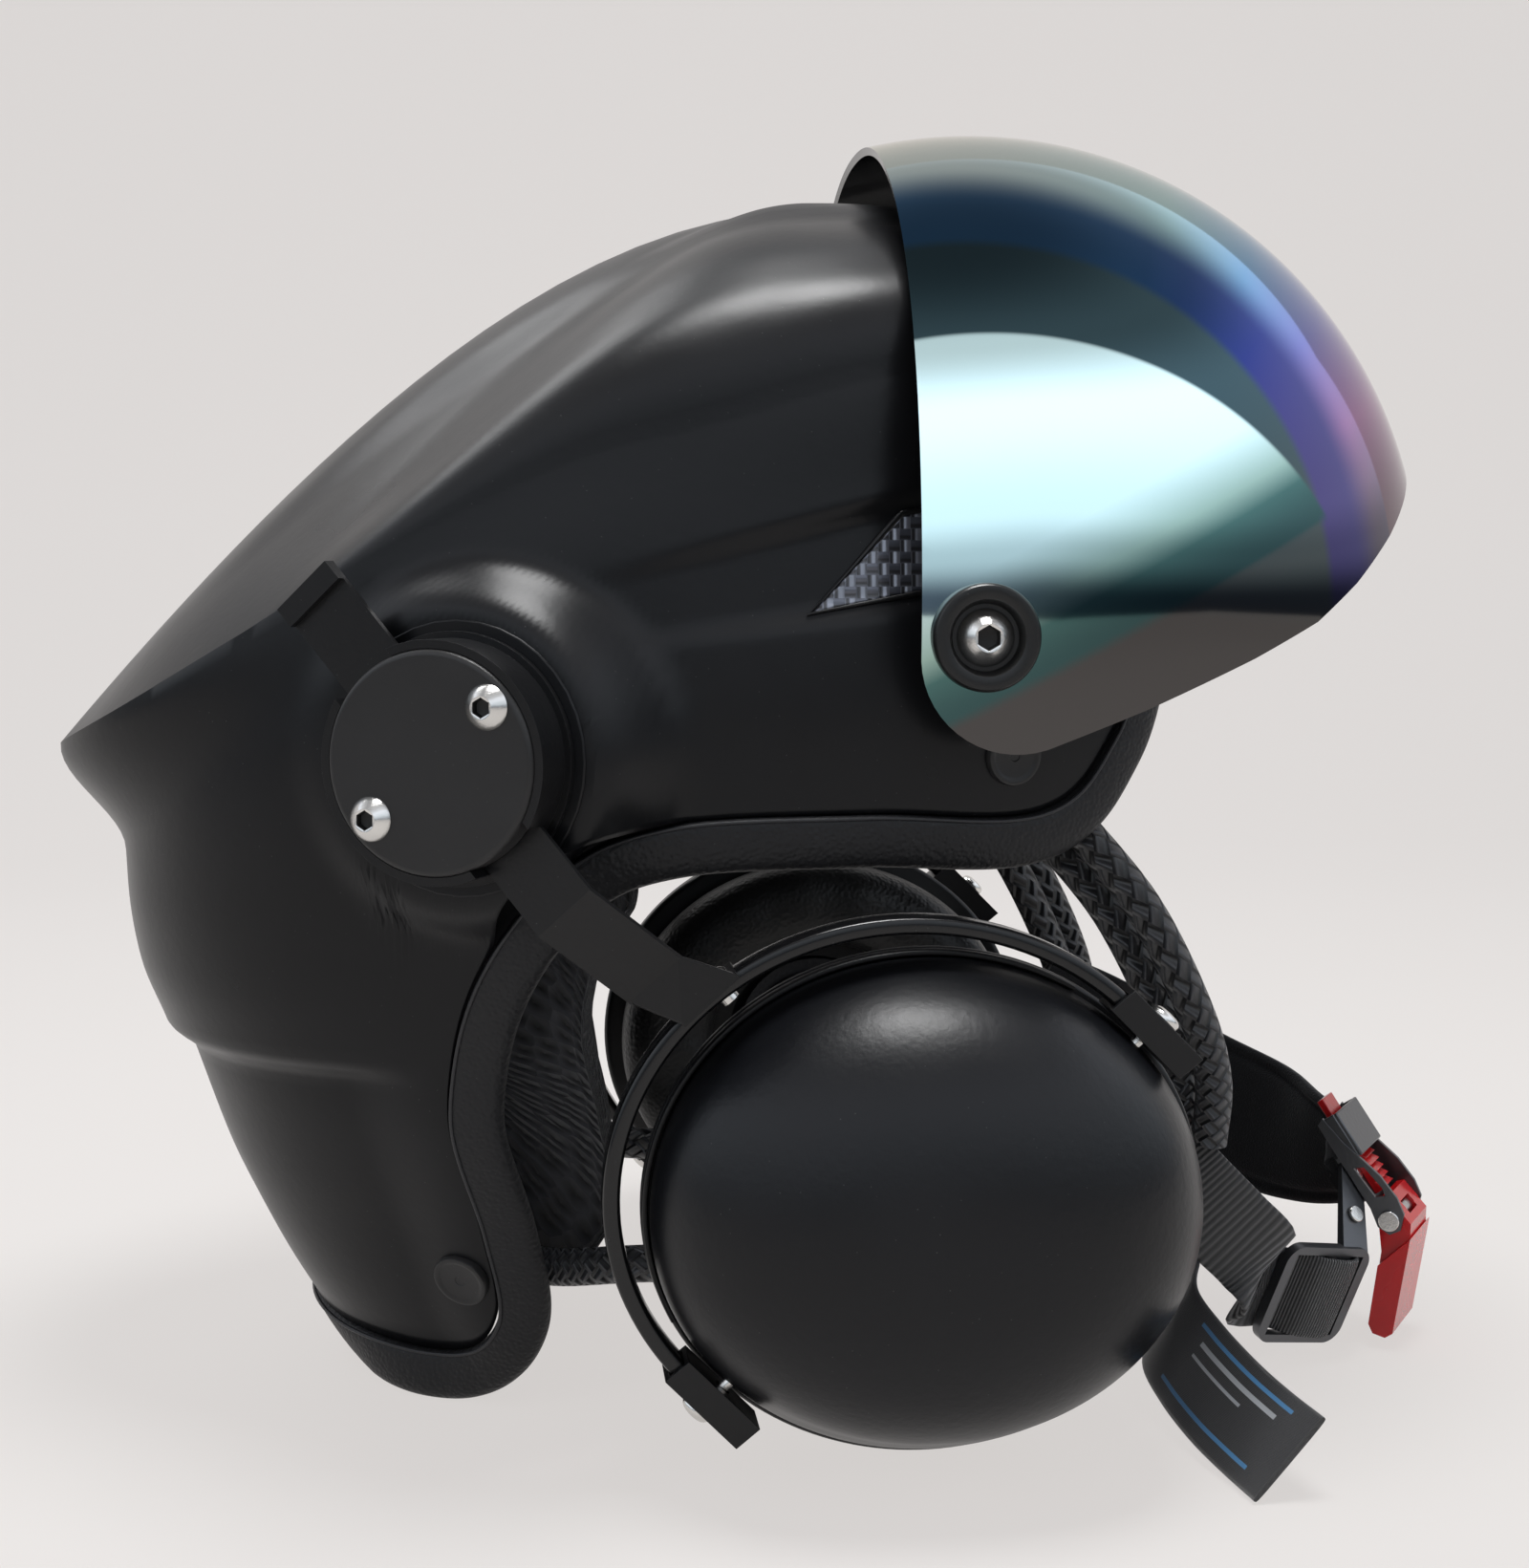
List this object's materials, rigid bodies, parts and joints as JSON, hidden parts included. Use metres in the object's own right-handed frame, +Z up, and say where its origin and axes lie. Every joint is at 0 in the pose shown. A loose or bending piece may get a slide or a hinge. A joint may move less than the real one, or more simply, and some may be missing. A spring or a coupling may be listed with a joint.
{
  "type": "paramotor helmet",
  "caption": "Open-face flying helmet with a mirrored flip visor, yoke-mounted swivelling ear cups and a ratchet buckle chin strap.",
  "frame": {"origin": "on the ground, below the middle of the helmet", "axes": "+X the wearer's front, +Y the wearer's left, +Z up as it stands on the ground"},
  "size_m": [0.3573, 0.304, 0.314],
  "materials": {
    "shell_black": "moulded shell, satin black paint with a fine texture",
    "mount_black": "moulded nylon, fine matte texture",
    "foam": "moulded impact foam, matt",
    "foam_soft": "open sound foam",
    "knit": "knitted mesh over soft padding",
    "leatherette": "grained black leatherette",
    "suede": "black suede-like microfibre",
    "grille": "silver-grey woven look",
    "rubber": "soft black plug",
    "visor_mirror": "mirror coated in gold, teal, blue and violet",
    "gloss_black": "glossy black moulding",
    "cup_black": "satin black with an orange-peel surface",
    "screw_steel": "bright steel button head",
    "pivot_alloy": "turned alloy",
    "arm_black": "black coated spring steel",
    "yoke_gloss": "glossy black coated steel",
    "buckle_grey": "gunmetal coated sheet steel",
    "rivet_steel": "bare steel",
    "buckle_red": "red moulded plastic",
    "sleeve": "black braided sleeve over a cord",
    "webbing": "black woven webbing with crosswise ribs",
    "label": "black satin label"
  },
  "bodies": {
    "helmet": {"shell": "shell_black", "foam_liner": "foam", "comfort_liner": "knit", "edge_trim": "leatherette", "vent_grilles": "grille", "strap_plugs": "rubber", "visor_bases": "mount_black", "visor_screws": "screw_steel", "arm_bosses": "shell_black", "mount_pivots": "pivot_alloy", "front_sleeves": "sleeve", "rear_sleeves": "sleeve", "strap_rivets": "rivet_steel", "side_webbing": "webbing", "buckle_frame": "buckle_grey", "chin_strap": "suede", "buckle_body": "buckle_grey", "buckle_rivets": "rivet_steel", "ladder": "buckle_red", "lever_pin": "rivet_steel", "lever_spring": "rivet_steel", "label_loop": "label"},
    "visor_unit": {"visor": "visor_mirror", "visor_washers": "gloss_black"},
    "lever": {"buckle_lever": "buckle_red"},
    "mount_r": {"mount_body_r": "mount_black", "mount_cover_r": "mount_black", "mount_screws_r": "screw_steel"},
    "arm_strip_r": {"arm_r": "arm_black"},
    "yoke_unit_r": {"yoke_r": "yoke_gloss", "yoke_clips_r": "arm_black", "arm_screw_r": "screw_steel"},
    "cup_r": {"cup_shell_r": "cup_black", "cup_base_r": "cup_black", "cup_cushion_r": "leatherette", "cup_foam_r": "foam_soft", "speaker_r": "mount_black", "tilt_screws_r": "screw_steel"},
    "mount_l": {"mount_body_l": "mount_black", "mount_cover_l": "mount_black", "mount_screws_l": "screw_steel"},
    "arm_strip_l": {"arm_l": "arm_black"},
    "yoke_unit_l": {"yoke_l": "yoke_gloss", "yoke_clips_l": "arm_black", "arm_screw_l": "screw_steel"},
    "cup_l": {"cup_shell_l": "cup_black", "cup_base_l": "cup_black", "cup_cushion_l": "leatherette", "cup_foam_l": "foam_soft", "speaker_l": "mount_black", "tilt_screws_l": "screw_steel"}
  },
  "joints": [
    {"name": "visor_pitch", "type": "hinge", "parent": "helmet", "child": "visor_unit", "pos_m": [0.037, 0, 0.189], "axis": [0, 1, 0], "range_deg": [-4, 42]},
    {"name": "buckle_release", "type": "hinge", "parent": "helmet", "child": "lever", "pos_m": [0.16598, -0.02777, 0.03452], "axis": [0.5448, 0.8385, 0.0122], "range_deg": [0, 25], "stiffness_Nm_per_rad": 0.15},
    {"name": "mount_swivel_r", "type": "hinge", "parent": "helmet", "child": "mount_r", "pos_m": [-0.07823, -0.10894, 0.163], "axis": [-0.4384, -0.8988, 0], "range_deg": [-5, 4]},
    {"name": "arm_slide_r", "type": "slide", "parent": "mount_r", "child": "arm_strip_r", "axis": [0.5956, -0.2905, -0.749], "range_m": [-0.003, 0.012]},
    {"name": "yoke_swivel_r", "type": "hinge", "parent": "arm_strip_r", "child": "yoke_unit_r", "pos_m": [0.026, -0.1135, 0.0599], "axis": [-0.6691, 0, 0.7431], "range_deg": [-7, 7]},
    {"name": "cup_tilt_r", "type": "hinge", "parent": "yoke_unit_r", "child": "cup_r", "pos_m": [0.026, -0.1135, 0.0599], "axis": [0.7431, 0, 0.6691], "range_deg": [-7, 7]},
    {"name": "mount_swivel_l", "type": "hinge", "parent": "helmet", "child": "mount_l", "pos_m": [-0.07823, 0.10894, 0.163], "axis": [0.4384, -0.8988, 0], "range_deg": [-5, 4]},
    {"name": "arm_slide_l", "type": "slide", "parent": "mount_l", "child": "arm_strip_l", "axis": [0.5956, 0.2905, -0.749], "range_m": [-0.003, 0.012]},
    {"name": "yoke_swivel_l", "type": "hinge", "parent": "arm_strip_l", "child": "yoke_unit_l", "pos_m": [0.026, 0.1135, 0.0599], "axis": [0.6691, 0, -0.7431], "range_deg": [-7, 7]},
    {"name": "cup_tilt_l", "type": "hinge", "parent": "yoke_unit_l", "child": "cup_l", "pos_m": [0.026, 0.1135, 0.0599], "axis": [-0.7431, 0, -0.6691], "range_deg": [-7, 7]}
  ]
}
